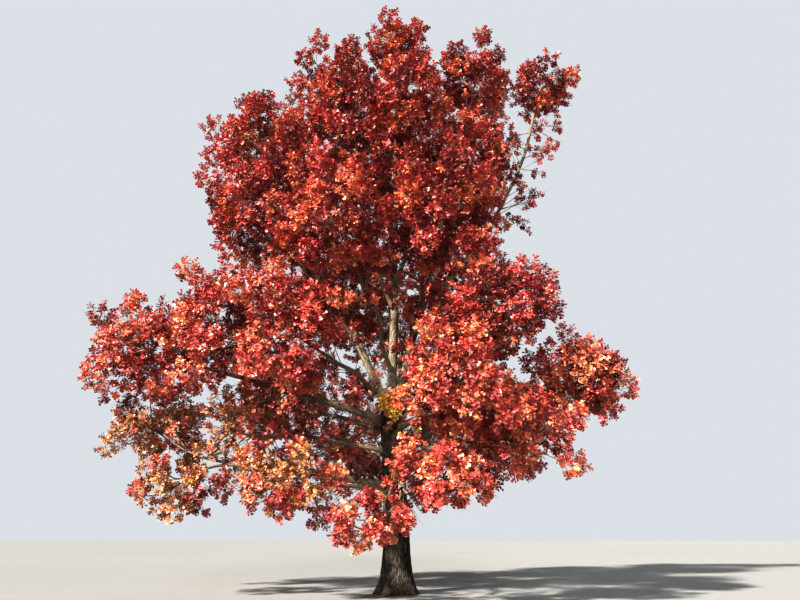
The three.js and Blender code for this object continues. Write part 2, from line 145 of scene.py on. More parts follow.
# Masses of foliage: what carries each, the bearing, distance and height of its middle, its half-sizes
# outwards, across and upwards, its blend of tints, and how thick its leaf is.
MASSES = {
    "far_left": ("big_left", (187, 7.85, 7.05), (2.05, 2.0, 1.9), "red", 1.0),
    "left_front": ("left_upper", (204, 5.75, 7.4), (1.9, 2.15, 1.9), "red", 1.0),
    # left_inner takes the brighter blend partly as painted light, to lift its shaded side towards the
    # centre.
    "left_inner": ("left_front_up", (229, 4.75, 7.1), (1.95, 2.05, 1.95), "bright", 0.95),
    "low_far_left": ("low_left_long", (175, 7.75, 5.0), (1.75, 1.85, 1.35), "turning", 0.8),
    "low_left": ("low_left_short", (187, 4.95, 4.65), (1.75, 1.85, 1.5), "turning", 0.5),
    "low_left_fringe": ("low_left_long", (195, 6.3, 2.85), (1.7, 1.65, 0.95), "turning", 0.6),
    "low_left_front": ("low_left_near", (227, 4.35, 2.95), (1.75, 1.7, 1.05), "turning", 0.6),
    "shoulder_left": ("leader_left", (178, 5.15, 15.1), (2.05, 2.0, 2.3), "red", 1.0),
    "mid_left": ("left_mid", (199, 4.9, 11.5), (1.85, 2.0, 2.05), "red", 1.0),
    "high_left": ("left_high", (170, 2.35, 17.95), (1.7, 1.9, 2.0), "red", 1.0),
    "upper_front_left": ("front_left_high", (221, 3.3, 13.4), (1.95, 2.0, 2.2), "red", 1.0),
    "mid_front": ("front_mid", (251, 4.8, 9.85), (1.95, 2.0, 1.95), "bright", 1.0),
    "top": ("leader_centre", (0, 0.1, 19.3), (1.25, 1.35, 1.75), "red", 1.0),
    "upper_front": ("front_high", (275, 2.3, 15.0), (1.9, 1.9, 2.15), "red", 1.0),
    "mid_front_right": ("right_mid", (285, 4.5, 10.2), (1.9, 2.0, 2.1), "red", 1.0),
    "high_right": ("leader_right", (12, 3.05, 18.25), (1.85, 1.75, 1.95), "red", 1.0),
    "upper_right": ("right_high", (343, 2.65, 13.9), (1.9, 1.8, 2.15), "red", 0.9),
    "shoulder_right": ("right_shoulder", (11, 6.0, 18.25), (1.45, 1.35, 1.25), "red", 1.0),
    "right_front": ("right_up", (303, 5.0, 7.25), (1.75, 1.85, 1.55), "red", 1.0),
    "low_front": ("front", (287, 5.3, 5.1), (1.85, 1.7, 1.6), "bright", 1.0),
    "far_right": ("right", (330, 5.95, 5.65), (1.6, 1.65, 1.45), "bright", 1.0),
    "low_right": ("right_low", (307, 5.15, 4.0), (1.65, 1.5, 1.2), "bright", 0.9),
    "low_front_skirt": ("front_low", (283, 4.9, 2.95), (1.65, 1.7, 0.95), "bright", 0.8),
    "front_drip": ("front_low", (263, 4.4, 1.85), (1.15, 1.2, 0.8), "bright", 0.7),
    "back_low_right": ("back_right_low", (38, 5.0, 5.65), (1.95, 2.2, 1.9), "red", 0.9),
    "back_low": ("back_low", (100, 5.2, 5.25), (2.15, 2.75, 2.45), "red", 0.9),
    "back_low_left": ("back_left_low", (136, 5.9, 6.3), (2.1, 2.25, 1.95), "red", 0.9),
    "back_mid_right": ("back_right_mid", (53, 4.9, 10.5), (2.05, 2.3, 2.3), "red", 0.9),
    "back_mid_left": ("back_left_mid", (115, 5.0, 10.8), (2.1, 2.3, 2.35), "red", 0.9),
    "back_high": ("leader_back", (83, 3.5, 15.6), (2.0, 2.1, 2.3), "red", 0.9),
    "trunk_sprouts": ("trunk", (272, 0.95, 5.35), (0.62, 0.64, 0.52), "golden", 1.0),
}
NAMES = list(MASSES)

# Shares of the tints in each blend, in the order of TINTS
TINTS = ("scarlet", "crimson", "flame", "russet", "gold")
BLENDS = {
    "red": (0.49, 0.28, 0.22, 0.01, 0.0),
    "bright": (0.46, 0.14, 0.37, 0.03, 0.0),
    "turning": (0.09, 0.15, 0.19, 0.57, 0.0),
    "golden": (0.0, 0.0, 0.06, 0.06, 0.88),
    # Painted shade: mostly crimson and russet, for the low inner sprays where shade falls.
    "shaded": (0.14, 0.62, 0.02, 0.21, 0.01),
}
PIECE_LIMIT = 190000  # triangles in one joined piece

# A leaf's outline: across and along as shares of its length, down its midrib and then lobe by lobe.
LEAF_POINTS = np.array([
    (0, 0.04), (0, 0.46), (0, 1.0), (-0.33, 0.44), (0.33, 0.44), (-0.38, 0.8), (0.38, 0.8),
])
LEAF_FACES = np.array([(0, 1, 3), (0, 4, 1), (1, 2, 5), (1, 6, 2)])
LEAF_FOLD = 1.6  # how far the lobes rise with the fold


# Sizes and colours that can be changed
COLOUR = {"subtype": "COLOR", "size": 3, "min": 0, "max": 1}


class OakBarkSettings(bpy.types.PropertyGroup):
    ridge_depth: bpy.props.FloatProperty(
        name="Ridge depth", description="How far the bark's ridges stand out on the trunk",
        default=0.022, min=0, unit="LENGTH")
    ridge_spacing: bpy.props.FloatProperty(
        name="Ridge spacing", description="Distance from one ridge of the bark to the next",
        default=0.11, min=0.02, unit="LENGTH")
    # Partly painted shade: the trunk's own dark grey-brown bark, made darker still to stand for the shade
    # the crown casts on the trunk.
    trunk_colour_and_shade: bpy.props.FloatVectorProperty(
        name="Trunk ridges", description="Colour of the trunk's ridges",
        default=(0.085, 0.07, 0.056), **COLOUR)
    # Partly painted shade: the furrows are darkened with the ridges for the crown's shade on the trunk.
    furrow_colour_and_shade: bpy.props.FloatVectorProperty(
        name="Furrows", description="Colour of the furrows in the bark",
        default=(0.018, 0.014, 0.011), **COLOUR)
    # Partly painted light: the upper limbs' paler, smoother bark is made lighter still, so that they look
    # sunlit even in the crown's shade.
    limb_colour_and_light: bpy.props.FloatVectorProperty(
        name="Upper limbs", description="Colour of the smoother bark on the upper limbs",
        default=(0.36, 0.30, 0.20), **COLOUR)
    twig_colour: bpy.props.FloatVectorProperty(
        name="Twigs", description="Colour of the twigs",
        default=(0.13, 0.085, 0.06), **COLOUR)


class OakFoliageSettings(bpy.types.PropertyGroup):
    clumps: bpy.props.IntProperty(
        name="Clumps", description="Clumps of sprays in a mass of full size", default=64, min=4)
    clump_radius: bpy.props.FloatProperty(
        name="Clump radius", description="Radius of a clump of sprays", default=0.42, min=0.1,
        unit="LENGTH")
    sprays: bpy.props.IntProperty(
        name="Sprays", description="Sprays of leaves in a clump", default=14, min=1)
    leaves: bpy.props.IntProperty(
        name="Leaves", description="Leaves on a spray", default=13, min=1)
    leaf_length: bpy.props.FloatProperty(
        name="Leaf length", description="Length of a leaf of middling size", default=0.15, min=0.02,
        unit="LENGTH")
    seed: bpy.props.IntProperty(name="Seed", description="Start of the random draws", default=5)


class OakTintSettings(bpy.types.PropertyGroup):
    scarlet: bpy.props.FloatVectorProperty(
        name="Scarlet", description="Colour of most leaves",
        default=(0.38, 0.041, 0.037), **COLOUR)
    crimson: bpy.props.FloatVectorProperty(
        name="Crimson", description="Colour of the darkest leaves",
        default=(0.155, 0.010, 0.014), **COLOUR)
    flame: bpy.props.FloatVectorProperty(
        name="Flame", description="Colour of the bright orange-red leaves",
        default=(0.52, 0.116, 0.066), **COLOUR)
    russet: bpy.props.FloatVectorProperty(
        name="Russet", description="Colour of the leaves that are turning brown",
        default=(0.29, 0.100, 0.034), **COLOUR)
    # Partly painted light: a plausible bright yellow, raised further so that the gold sprouts look sunlit
    # though they stand in shade.
    gold: bpy.props.FloatVectorProperty(
        name="Gold", description="Colour of the yellow leaves",
        default=(0.8, 0.46, 0.11), **COLOUR)


class OakStageSettings(bpy.types.PropertyGroup):
    camera_distance: bpy.props.FloatProperty(
        name="Camera distance", description="From the trunk to the camera", default=21.0, unit="LENGTH")
    eye_height: bpy.props.FloatProperty(
        name="Eye height", description="Height of the camera", default=1.55, unit="LENGTH")
    camera_side: bpy.props.FloatProperty(
        name="Camera side", description="How far the camera stands to the right", default=0.09,
        unit="LENGTH")
    tilt: bpy.props.FloatProperty(
        name="Tilt", description="How far the camera looks up", default=math.radians(19.8), subtype="ANGLE")
    lens: bpy.props.FloatProperty(
        name="Lens", description="Focal length in millimetres on a 36 mm sensor", default=29.7)
    key_strength: bpy.props.FloatProperty(
        name="Key light", description="Strength of the main light", default=15.0)
    key_bearing: bpy.props.FloatProperty(
        name="Key bearing", description="Where the main light stands, anticlockwise from +X",
        default=math.radians(229), subtype="ANGLE")
    key_height: bpy.props.FloatProperty(
        name="Key height", description="How high the main light stands above the level",
        default=math.radians(34), subtype="ANGLE")
    key_spread: bpy.props.FloatProperty(
        name="Key softness", description="Angle that the main light fills",
        default=math.radians(3), subtype="ANGLE")
    fill_strength: bpy.props.FloatProperty(
        name="Fill light", description="Strength of the softer light from the front", default=2.5)
    fill_bearing: bpy.props.FloatProperty(
        name="Fill bearing", description="Where the softer light stands, anticlockwise from +X",
        default=math.radians(272), subtype="ANGLE")
    fill_height: bpy.props.FloatProperty(
        name="Fill height", description="How high the softer light stands above the level",
        default=math.radians(22), subtype="ANGLE")
    fill_spread: bpy.props.FloatProperty(
        name="Fill softness", description="Angle that the softer light fills",
        default=math.radians(16), subtype="ANGLE")
    back_strength: bpy.props.FloatProperty(
        name="Back light", description="Strength of the soft light from behind", default=1.6)
    back_bearing: bpy.props.FloatProperty(
        name="Back bearing", description="Where the light from behind stands, anticlockwise from +X",
        default=math.radians(65), subtype="ANGLE")
    back_height: bpy.props.FloatProperty(
        name="Back height", description="How high the light from behind stands above the level",
        default=math.radians(30), subtype="ANGLE")
    back_spread: bpy.props.FloatProperty(
        name="Back softness", description="Angle that the light from behind fills",
        default=math.radians(50), subtype="ANGLE")
    surround: bpy.props.FloatVectorProperty(
        name="Surround", description="Colour of the studio around the tree",
        default=(0.80, 0.83, 0.87), **COLOUR)
    surround_strength: bpy.props.FloatProperty(
        name="Surround strength", description="Strength of the soft light all round", default=0.05)
    backdrop_strength: bpy.props.FloatProperty(
        name="Backdrop strength", description="Brightness of the surround in the picture", default=0.97)
    floor_colour: bpy.props.FloatVectorProperty(
        name="Floor", description="Colour of the floor",
        default=(0.235, 0.231, 0.223), **COLOUR)


# Directions and curves
def unit(v):
    return v / np.maximum(np.linalg.norm(v, axis=-1, keepdims=True), 1e-12)


def compass(bearing, rise=0.0):
    b, r = math.radians(bearing), math.radians(rise)
    return np.array([math.cos(r) * math.cos(b), math.cos(r) * math.sin(b), math.sin(r)])


def bezier(*points):
    """The curve over 2 to 4 points, as a function of an array of parameters."""
    degree = len(points) - 1

    def place(t):
        t = np.asarray(t, dtype=float)[..., None]
        terms = [math.comb(degree, i) * (1 - t) ** (degree - i) * t**i * p for i, p in enumerate(points)]
        return sum(terms)

    return place


class Line:
    """A middle line that is read by its parameter or by share of its length."""

    def __init__(self, place):
        self.place = place
        self.parameters = np.linspace(0, 1, 201)
        steps = np.linalg.norm(np.diff(place(self.parameters), axis=0), axis=1)
        self.run = np.concatenate([[0], np.cumsum(steps)])
        self.length = self.run[-1]

    def parameter(self, share):
        return np.interp(np.asarray(share) * self.length, self.run, self.parameters)

    def at(self, share):
        return self.place(self.parameter(share))

    def way(self, t, step=1e-4):
        low, high = np.clip(t - step, 0, 1), np.clip(t + step, 0, 1)
        return unit(self.place(high) - self.place(low))

    def way_at(self, share):
        return self.way(self.parameter(share))


def limb_line(foot, foot_way, tip, tip_way, swing):
    span = np.linalg.norm(tip - foot)
    leaves = foot + foot_way * span * BOUGH["foot_pull"]
    arrives = tip - tip_way * span * BOUGH["tip_pull"]
    base = bezier(foot, leaves, arrives, tip)
    side = unit(np.cross(tip - foot, (0, 0, 1))) * span * swing

    def place(t):
        t = np.asarray(t, dtype=float)
        return base(t) + (np.sin(np.pi * t) ** 2 * np.sin(3 * np.pi * t))[..., None] * side

    return Line(place)


def trunk_line():
    lean = compass(TRUNK["lean_bearing"]) * TRUNK["lean"]

    def place(t):
        t = np.asarray(t, dtype=float)[..., None]
        return lean * t * t + np.array([0, 0, TRUNK["height"]]) * t

    return Line(place)


def tapered(foot, tip, share):
    return tip + (foot - tip) * (1 - np.asarray(share)) ** BOUGH["taper"]


def seeded(seed):
    """The source's run of numbers from 0 to 1, from a linear congruential generator."""
    state = (seed * 7919 + 17) % 2**32
    while True:
        state = (state * 1664525 + 1013904223) % 2**32
        yield state / 2**32


# Spaces of the masses
MIDDLES = np.array([compass(at[0]) * at[1] + (0, 0, at[2]) for _, at, _, _, _ in MASSES.values()])
AXES = np.array([
    (compass(at[0]), compass(at[0] + 90), (0, 0, 1)) for _, at, _, _, _ in MASSES.values()
])
HALVES = np.array([half for _, _, half, _, _ in MASSES.values()])


def depths(points):
    """The place of each point in each mass: 0 in the middle and 1 on the outline."""
    away = np.asarray(points)[:, None] - MIDDLES
    return np.linalg.norm(np.einsum("nmk,mak->nma", away, AXES) / HALVES, axis=2)


def owned(owners, points, outline=1.0):
    """Whether each point lies in its owner's outline and deeper in it than in any other mass."""
    depth = depths(points)
    rows = np.arange(len(depth))
    own = depth[rows, owners]
    depth[rows, owners] = np.inf
    return (own <= outline) & (depth.min(axis=1) > own + OWN_SPACE_MARGIN)


def in_box(points, margin):
    """Whether each point lies inside the source's box, or nearer to it than the margin."""
    low, high = np.array(CAD_BOX)
    return ((points > low - margin) & (points < high + margin)).all(axis=1)


def placed(index, shares):
    return MIDDLES[index] + (np.asarray(shares) * HALVES[index]) @ AXES[index]


# Limbs
@lru_cache(maxsize=1)
def grow_limbs():
    """Each limb's middle line with its radius at the foot and at the tip, the trunk first."""
    limbs = {"trunk": (trunk_line(), TRUNK["foot_radius"], TRUNK["fork_radius"])}
    for number, (name, (parent, share, rise, ends, radius, runs)) in enumerate(BOUGHS.items()):
        foot = limbs[parent][0].at(share)
        carried = [i for i, mass in enumerate(NAMES) if MASSES[mass][0] == name]
        middle = MIDDLES[carried].mean(axis=0)
        if runs:
            tip = foot + (middle - foot) * runs
        else:
            tip = middle + (foot - middle) * BOUGH["entry"] / depths([foot])[0, carried[0]]
        bearing = math.degrees(math.atan2(tip[1] - foot[1], tip[0] - foot[0]))
        swing = BOUGH["wander"] * (1 if number % 2 else -1)
        line = limb_line(foot, compass(bearing, rise), tip, compass(bearing, ends), swing)
        limbs[name] = (line, radius, BOUGH["forked_tip_radius" if runs else "tip_radius"])
    return limbs


def stem_line(index, foot, way):
    middle = MIDDLES[index]
    tip = middle + (middle - foot) * STEM["overshoot"]
    while depths([tip])[0, index] > STEM["reach"] or not owned([index], [tip])[0]:
        tip = tip + (middle - tip) * STEM["back_step"]
    bend = foot + way * np.linalg.norm(middle - foot) * STEM["onward"]
    return Line(bezier(foot, bend, tip))


def grow_stem(index):
    carrier = MASSES[NAMES[index]][0]
    line = grow_limbs()[carrier][0]
    if carrier == "trunk":
        foot = line.place(MIDDLES[index][2] / TRUNK["height"] - STEM["below_middle"])
        return stem_line(index, foot, unit(MIDDLES[index] - foot))
    way = line.way_at(1.0)
    foot = line.at(1.0) + way * JOINT_GAP
    if BOUGHS[carrier][5]:
        side = MIDDLES[index] - foot
        foot = foot + unit(side - way * side.dot(way)) * STEM["apart"]
    return stem_line(index, foot, way)


def grow_first_twig(index, k, stem):
    """Twig number k of a mass as the source places it, or None."""
    draw = seeded(index * TWIG["per_mass"] + k)
    level = 1 - (2 * k + 1) / TWIG["per_mass"]
    ring = math.sqrt(1 - level * level)
    turn = k * GOLDEN_ANGLE + next(draw) * TWIG["turn"]
    reach = TWIG["reach"] * (1 + TWIG["scatter"] * (2 * next(draw) - 1))
    end = placed(index, (ring * math.cos(turn) * reach, ring * math.sin(turn) * reach, level * reach))
    onward = unit(end - MIDDLES[index]).dot(stem.way(0.5))
    if onward < TWIG["turned_back"]:
        return None
    share = TWIG["first_foot"] + (TWIG["last_foot"] - TWIG["first_foot"]) * (1 + onward) / 2
    foot = stem.place(share)
    for length in TWIG["shorter"]:
        tip = foot + (end - foot) * length
        if owned([index], [tip])[0]:
            sweep = stem.way(share) * np.linalg.norm(tip - foot) * TWIG["sweep"]
            return Line(bezier(foot, foot + (tip - foot) * TWIG["bend"] + sweep, tip))
    return None


# Finer growth: the same rule, carried on. Lengths are in metres, and a depth is 0 in the middle of a mass
# and 1 on its outline. A sweep is how far a twig sets out along its carrier.
SPIRAL = {"scatter": 0.12, "crowding": 0.45}  # a smaller crowding is nearer the outside of the ball
NEAR_LIMBS = {"every": 0.12, "least": 12, "batch": 4000}  # places on a limb, and points measured at once
TURNING_COST = 1.5  # smaller is a stronger pull to feet whose carrier points at the target already
ASKEW = (0.3, 0.2, 1.0)  # a way that no spray takes
FRAME = {  # a mass's stem and first twigs, and the outer stretch that the source's last leaf stands for
    "points": 12, "source_points": 7, "radii": (0.026, 0.007),
    "step": 0.14, "steps": 14, "reach": 0.84, "outward": 0.5, "rising": 0.1,
}
LOBES = {
    "count": 18,  # on the outline of a mass
    "width": 0.04,  # smaller is narrower
    "depths": (0.66, 1.14),  # of the outermost clumps between the lobes and on them
}
CLUMP = {  # sprays at the end of a branchlet; the hollow is the share of the radius that has none
    "least": 6, "hollow": 0.3, "sweep": 0.3,
    "sizes": (0.8, 1.2),  # as shares of the clumps' radius
    "full_size": 1.2,  # least half-size of a mass whose clumps are of full size
}
SPRAY = {  # its tip leans outwards, from a middle somewhat below the mass's own, and up
    "hollow": 0.55, "outward": 0.25, "upward": 0.18, "middle": 0.9, "sweep": 0.22,
    "first_foot": 0.5,  # share of the branchlet at which sprays begin
    "depth": 1.3,  # to which tips reach
    "proud": 0.1,  # how far past the source's box a tip may stand
    "off_limbs": 0.08,
    "strays": 0.22,  # share of the sprays that take a tint of their own, and the depth it is dealt for
    "stray_depth": 0.8,
}
LEAF = {  # its face turns outwards, up and at random
    "outward": 0.7, "upward": 0.7, "face_scatter": 0.6, "middle": 0.85,
    "first": 0.62,  # share of the spray at which its leaves begin
    "uneven": 0.5,  # share of the step from leaf to leaf by which one may stand further out
    "lean": (84, 28),  # degrees off the spray, of the first leaf and the last
    "lean_curve": 1.5,  # greater is a later turn towards the tip
    "scatter": 0.35, "hang": 0.12, "off_limbs": 0.03,
    "size": (0.74, 1.14), "fold": (0.02, 0.3), "droop": (-0.04, 0.26),
}
INNER = {
    "per_metre": 6,  # twigs on a metre of bough
    "share": {  # of that number, on the boughs that show bare and those that fill the crown behind them
        "leader_left": 1.0, "leader_centre": 1.0, "leader_right": 1.0, "left_high": 1.6,
        "left_front_up": 0.6, "front": 0.3, "front_mid": 0.5,
        "leader_back": 1.8, "back_left_mid": 1.8, "back_left_low": 1.5,
    },
    "crowded": {"leader_left": 0.4, "leader_centre": 0.4, "leader_right": 0.4},  # smaller is nearer the tip
    "along": (0.12, 0.83),  # share of the bough at which they start, and over which they stand
    "length": (0.6, 1.5), "onward": (0.2, 1.1), "rising": 0.1, "scatter": 0.12, "sweep": 0.2,
    "forks": 4,  # on each of them
    "fork_along": (0.35, 1.0), "fork_length": (0.25, 0.6), "fork_spread": 0.8, "fork_sweep": 0.25,
    "leaved": (0.35, 0.75),  # shares of the forks that carry a spray, in the shade and above it
    "outside": 0.55,  # least depth in any mass, as the masses' own sprays fill them
    "shaded_below": 6.2,  # above the ground
}
# Painted shade: crimson, the darkest tint, grows more common deep inside a mass, where shade falls.
INNER_PAINTED_SHADE = (0.75, 1.6)  # depth below which crimson leaves grow more common, and how much
ARC_POINTS = 5  # on a branchlet, a spray or an inner twig


def carried_on(index, line):
    """A first twig's points with its outer stretch, which the source's last leaf stands for."""
    points = list(line.place(np.linspace(0, 1, FRAME["source_points"])))
    way = unit(line.way(1.0) + FRAME["outward"] * unit(points[-1] - MIDDLES[index]))
    for _ in range(FRAME["steps"]):
        way = unit(way + (0, 0, FRAME["rising"]))
        point = points[-1] + way * FRAME["step"]
        if not owned([index], [point], FRAME["reach"])[0]:
            break
        points.append(point)
    points = np.array(points)
    run = np.concatenate([[0], np.cumsum(np.linalg.norm(np.diff(points, axis=0), axis=1))])
    even = np.linspace(0, run[-1], FRAME["points"])
    return np.stack([np.interp(even, run, points[:, i]) for i in range(3)], axis=1)


def golden_ball(count, rng, inner):
    """Directions on a golden spiral with radii from inner to 1, most of them near 1."""
    k = np.arange(count)
    level = 1 - (2 * k + 1) / count
    ring = np.sqrt(1 - level**2)
    turn = k * GOLDEN_ANGLE + rng.random() * 2 * np.pi
    ways = np.stack([ring * np.cos(turn), ring * np.sin(turn), level], axis=1)
    ways = unit(ways + rng.normal(0, SPIRAL["scatter"], ways.shape))
    return ways * (inner + (1 - inner) * rng.random(count) ** SPIRAL["crowding"])[:, None]


def lobed(points, rng):
    """Points of a unit ball, drawn out to the lobes of a crown's outline and in between them."""
    lobes = golden_ball(LOBES["count"], rng, 1.0)
    near = np.exp((unit(points) @ lobes.T - 1) / LOBES["width"]).sum(axis=1).clip(0, 1)
    low, high = LOBES["depths"]
    return points * (low + (high - low) * near)[:, None]


def arcs(feet, ways, tips, sweep):
    """Bent lines from feet to tips that set out along the carriers' ways, as a few points each."""
    span = np.linalg.norm(tips - feet, axis=1, keepdims=True)
    bends = feet + (tips - feet) * TWIG["bend"] + ways * span * sweep
    t = np.linspace(0, 1, ARC_POINTS)[None, :, None]
    return (1 - t) ** 2 * feet[:, None] + 2 * t * (1 - t) * bends[:, None] + t**2 * tips[:, None]


def on_arcs(lines, shares):
    """The points at shares along lines of evenly counted points, and the ways there."""
    place = shares * (lines.shape[1] - 1)
    low = np.minimum(place.astype(int), lines.shape[1] - 2)
    rows = np.arange(len(lines))
    first, second = lines[rows, low], lines[rows, low + 1]
    return first + (second - first) * (place - low)[:, None], unit(second - first)


def nearest_feet(points, ways, targets):
    """For each target the carrier point that a branchlet to it would leave: near, and not turned back."""
    gap = targets[:, None] - points
    distance = np.linalg.norm(gap, axis=2)
    along = np.einsum("tpk,pk->tp", gap, ways) / np.maximum(distance, 1e-9)
    return (distance * (TURNING_COST - along)).argmin(axis=1)


def grow_frame_of_mass(index):
    """The stem and the first twigs of a mass, as lines of points with radii."""
    stem = grow_stem(index)
    shares = np.linspace(0, 1, FRAME["points"])
    lines = [stem.place(shares)]
    radii = [tapered(STEM["radius"], STEM["tip_radius"] / 2, shares)]
    for k in range(TWIG["per_mass"]):
        twig = grow_first_twig(index, k, stem)
        if twig:
            lines.append(carried_on(index, twig))
            radii.append(tapered(*FRAME["radii"], shares))
    return np.array(lines), np.array(radii)


def near_limbs(points, margin):
    """Whether each point lies inside the trunk or a bough, or nearer to it than the margin."""
    hit = np.zeros(len(points), bool)
    for name, (line, foot, tip) in grow_limbs().items():
        shares = np.linspace(0, 1, max(NEAR_LIMBS["least"], int(line.length / NEAR_LIMBS["every"])))
        places, radii = line.at(shares), tapered(foot, tip, shares)
        low, high = places.min(axis=0) - foot - margin, places.max(axis=0) + foot + margin
        close = np.nonzero(((points > low) & (points < high)).all(axis=1) & ~hit)[0]
        for part in np.array_split(close, max(1, len(close) // NEAR_LIMBS["batch"])):
            gap = np.linalg.norm(points[part][:, None] - places, axis=2) - radii
            hit[part] |= gap.min(axis=1) < margin
    return hit


def grow_inner_twigs(rng):
    """Twigs on the boughs between the trunk and the masses, and their forks: the shade keeps them thin."""
    first, run = INNER["along"]
    feet, ways, tips = [], [], []
    for name in BOUGHS:
        line = grow_limbs()[name][0]
        count = round(line.length * INNER["per_metre"] * INNER["share"].get(name, 1))
        share = first + run * rng.random(count) ** INNER["crowded"].get(name, 1)
        way = line.way_at(share)
        across = unit(np.cross(way, rng.normal(size=way.shape)))
        aim = unit(across + way * rng.uniform(*INNER["onward"], (count, 1)) + (0, 0, INNER["rising"]))
        feet.append(line.at(share))
        ways.append(aim)
        reach = rng.uniform(*INNER["length"], (count, 1))
        tips.append(feet[-1] + aim * reach + rng.normal(0, INNER["scatter"], aim.shape))
    feet, ways, tips = np.concatenate(feet), np.concatenate(ways), np.concatenate(tips)
    kept = depths(tips).min(axis=1) > INNER["outside"]
    twigs = arcs(feet[kept], ways[kept], tips[kept], INNER["sweep"])
    carrier = np.repeat(np.arange(len(twigs)), INNER["forks"])
    feet, onward = on_arcs(twigs[carrier], rng.uniform(*INNER["fork_along"], len(carrier)))
    aim = unit(onward + INNER["fork_spread"] * unit(rng.normal(size=onward.shape)))
    tips = feet + aim * rng.uniform(*INNER["fork_length"], (len(carrier), 1))
    return twigs, arcs(feet, onward, tips, INNER["fork_sweep"])


def grow_masses(clumps, clump_radius, rng):
    """The frames of all masses, and every clump's branchlet, mass, radius and thickness of leaf."""
    full = np.prod(HALVES, axis=1).max() ** (2 / 3)
    frames, branchlets, owners, radii, thick = [], [], [], [], []
    for index, name in enumerate(NAMES):
        lines, sizes = grow_frame_of_mass(index)
        frames.append((lines, sizes))
        share = np.prod(HALVES[index]) ** (2 / 3) / full
        count = max(CLUMP["least"], round(clumps * share))
        middles = placed(index, lobed(golden_ball(count, rng, CLUMP["hollow"]), rng))
        middles = middles[owned(np.full(len(middles), index), middles, LOBES["depths"][1])]
        points = lines[:, 2:].reshape(-1, 3)
        ways = unit(np.gradient(lines, axis=1))[:, 2:].reshape(-1, 3)
        feet = nearest_feet(points, ways, middles)
        branchlets.append(arcs(points[feet], ways[feet], middles, CLUMP["sweep"]))
        owners.append(np.full(len(middles), index))
        small = min(1.0, HALVES[index].min() / CLUMP["full_size"])
        radii.append(clump_radius * small * rng.uniform(*CLUMP["sizes"], len(middles)))
        thick.append(np.full(len(middles), MASSES[name][4]))
    return frames, *(np.concatenate(parts) for parts in (branchlets, owners, radii, thick))


def grow_sprays(branchlets, owners, radii, thick, count, rng):
    """Sprays that fill a ball round each clump's middle, more of them up and out, and each one's clump."""
    number = np.repeat(np.arange(len(owners)), count)
    ways = np.concatenate([golden_ball(count, rng, SPRAY["hollow"]) for _ in owners])
    outward = unit(branchlets[number, -1] - MIDDLES[owners[number]] * (1, 1, SPRAY["middle"]))
    ways = ways + SPRAY["outward"] * outward + (0, 0, SPRAY["upward"])
    tips = branchlets[number, -1] + ways * radii[number, None]
    onward = np.einsum("nk,nk->n", unit(ways), unit(branchlets[number, -1] - branchlets[number, -2]))
    share = SPRAY["first_foot"] + (1 - SPRAY["first_foot"]) * (1 + onward) / 2
    feet, carried = on_arcs(branchlets[number], share)
    kept = owned(owners[number], tips, SPRAY["depth"]) & (rng.random(len(tips)) < thick[number])
    kept &= ~near_limbs(tips, SPRAY["off_limbs"]) & in_box(tips, SPRAY["proud"])
    return number[kept], arcs(feet[kept], carried[kept], tips[kept], SPRAY["sweep"])


@lru_cache(maxsize=1)
def grow_crown(clumps, clump_radius, sprays, leaves, seed):
    """All twigs and leaves of the crown, as arrays."""
    rng = np.random.default_rng(seed)
    frames, branchlets, owners, radii, thick = grow_masses(clumps, clump_radius, rng)
    tints = deal_tints(owners, depths(branchlets[:, -1])[np.arange(len(owners)), owners], rng)
    number, spray_lines = grow_sprays(branchlets, owners, radii, thick, sprays, rng)
    strays = rng.random(len(number)) < SPRAY["strays"]
    own_tints = deal_tints(owners[number], np.full(len(number), SPRAY["stray_depth"]), rng)
    spray_tints = np.where(strays, own_tints, tints[number])
    inner_twigs, forks = grow_inner_twigs(rng)
    # Inner sprays below this height take the darker shaded blend: painted shade.
    low = forks[:, -1, 2] < INNER["shaded_below"]
    bearing = rng.random(len(forks)) < np.where(low, *INNER["leaved"])
    leaved, low = forks[bearing], low[bearing, None]
    nearest = depths(leaved[:, -1]).argmin(axis=1)
    shares = np.where(low, BLENDS["shaded"], BLENDS["red"])
    shares[nearest == NAMES.index("trunk_sprouts")] = BLENDS["golden"]
    spray_tints = np.concatenate([spray_tints, drawn(shares, rng)])
    spray_owners = np.concatenate([owners[number], nearest])
    grown = grow_leaves(np.concatenate([spray_lines, leaved]), spray_owners, leaves, rng)
    grown["tint"] = spray_tints[grown.pop("spray")]
    return {
        "frames": frames, "branchlets": branchlets, "sprays": spray_lines,
        "inner_twigs": inner_twigs, "forks": forks, "leaves": grown,
    }


def drawn(shares, rng):
    """For each row of shares, the number of the share that a random draw falls in."""
    drawn_at = rng.random(len(shares))[:, None] * shares.sum(axis=1, keepdims=True)
    return (drawn_at > shares.cumsum(axis=1)).sum(axis=1).clip(0, shares.shape[1] - 1)


def deal_tints(owners, depth, rng):
    """A tint for each place: by its mass's blend, with more crimson deep inside the crown as painted shade.
    """
    shares = np.array([BLENDS[MASSES[name][3]] for name in NAMES])[owners]
    # painted shade: more crimson the deeper a place lies in its mass
    shares[:, TINTS.index("crimson")] *= 1 + INNER_PAINTED_SHADE[1] * np.clip(INNER_PAINTED_SHADE[0] - depth, 0, 1)
    return drawn(shares, rng)


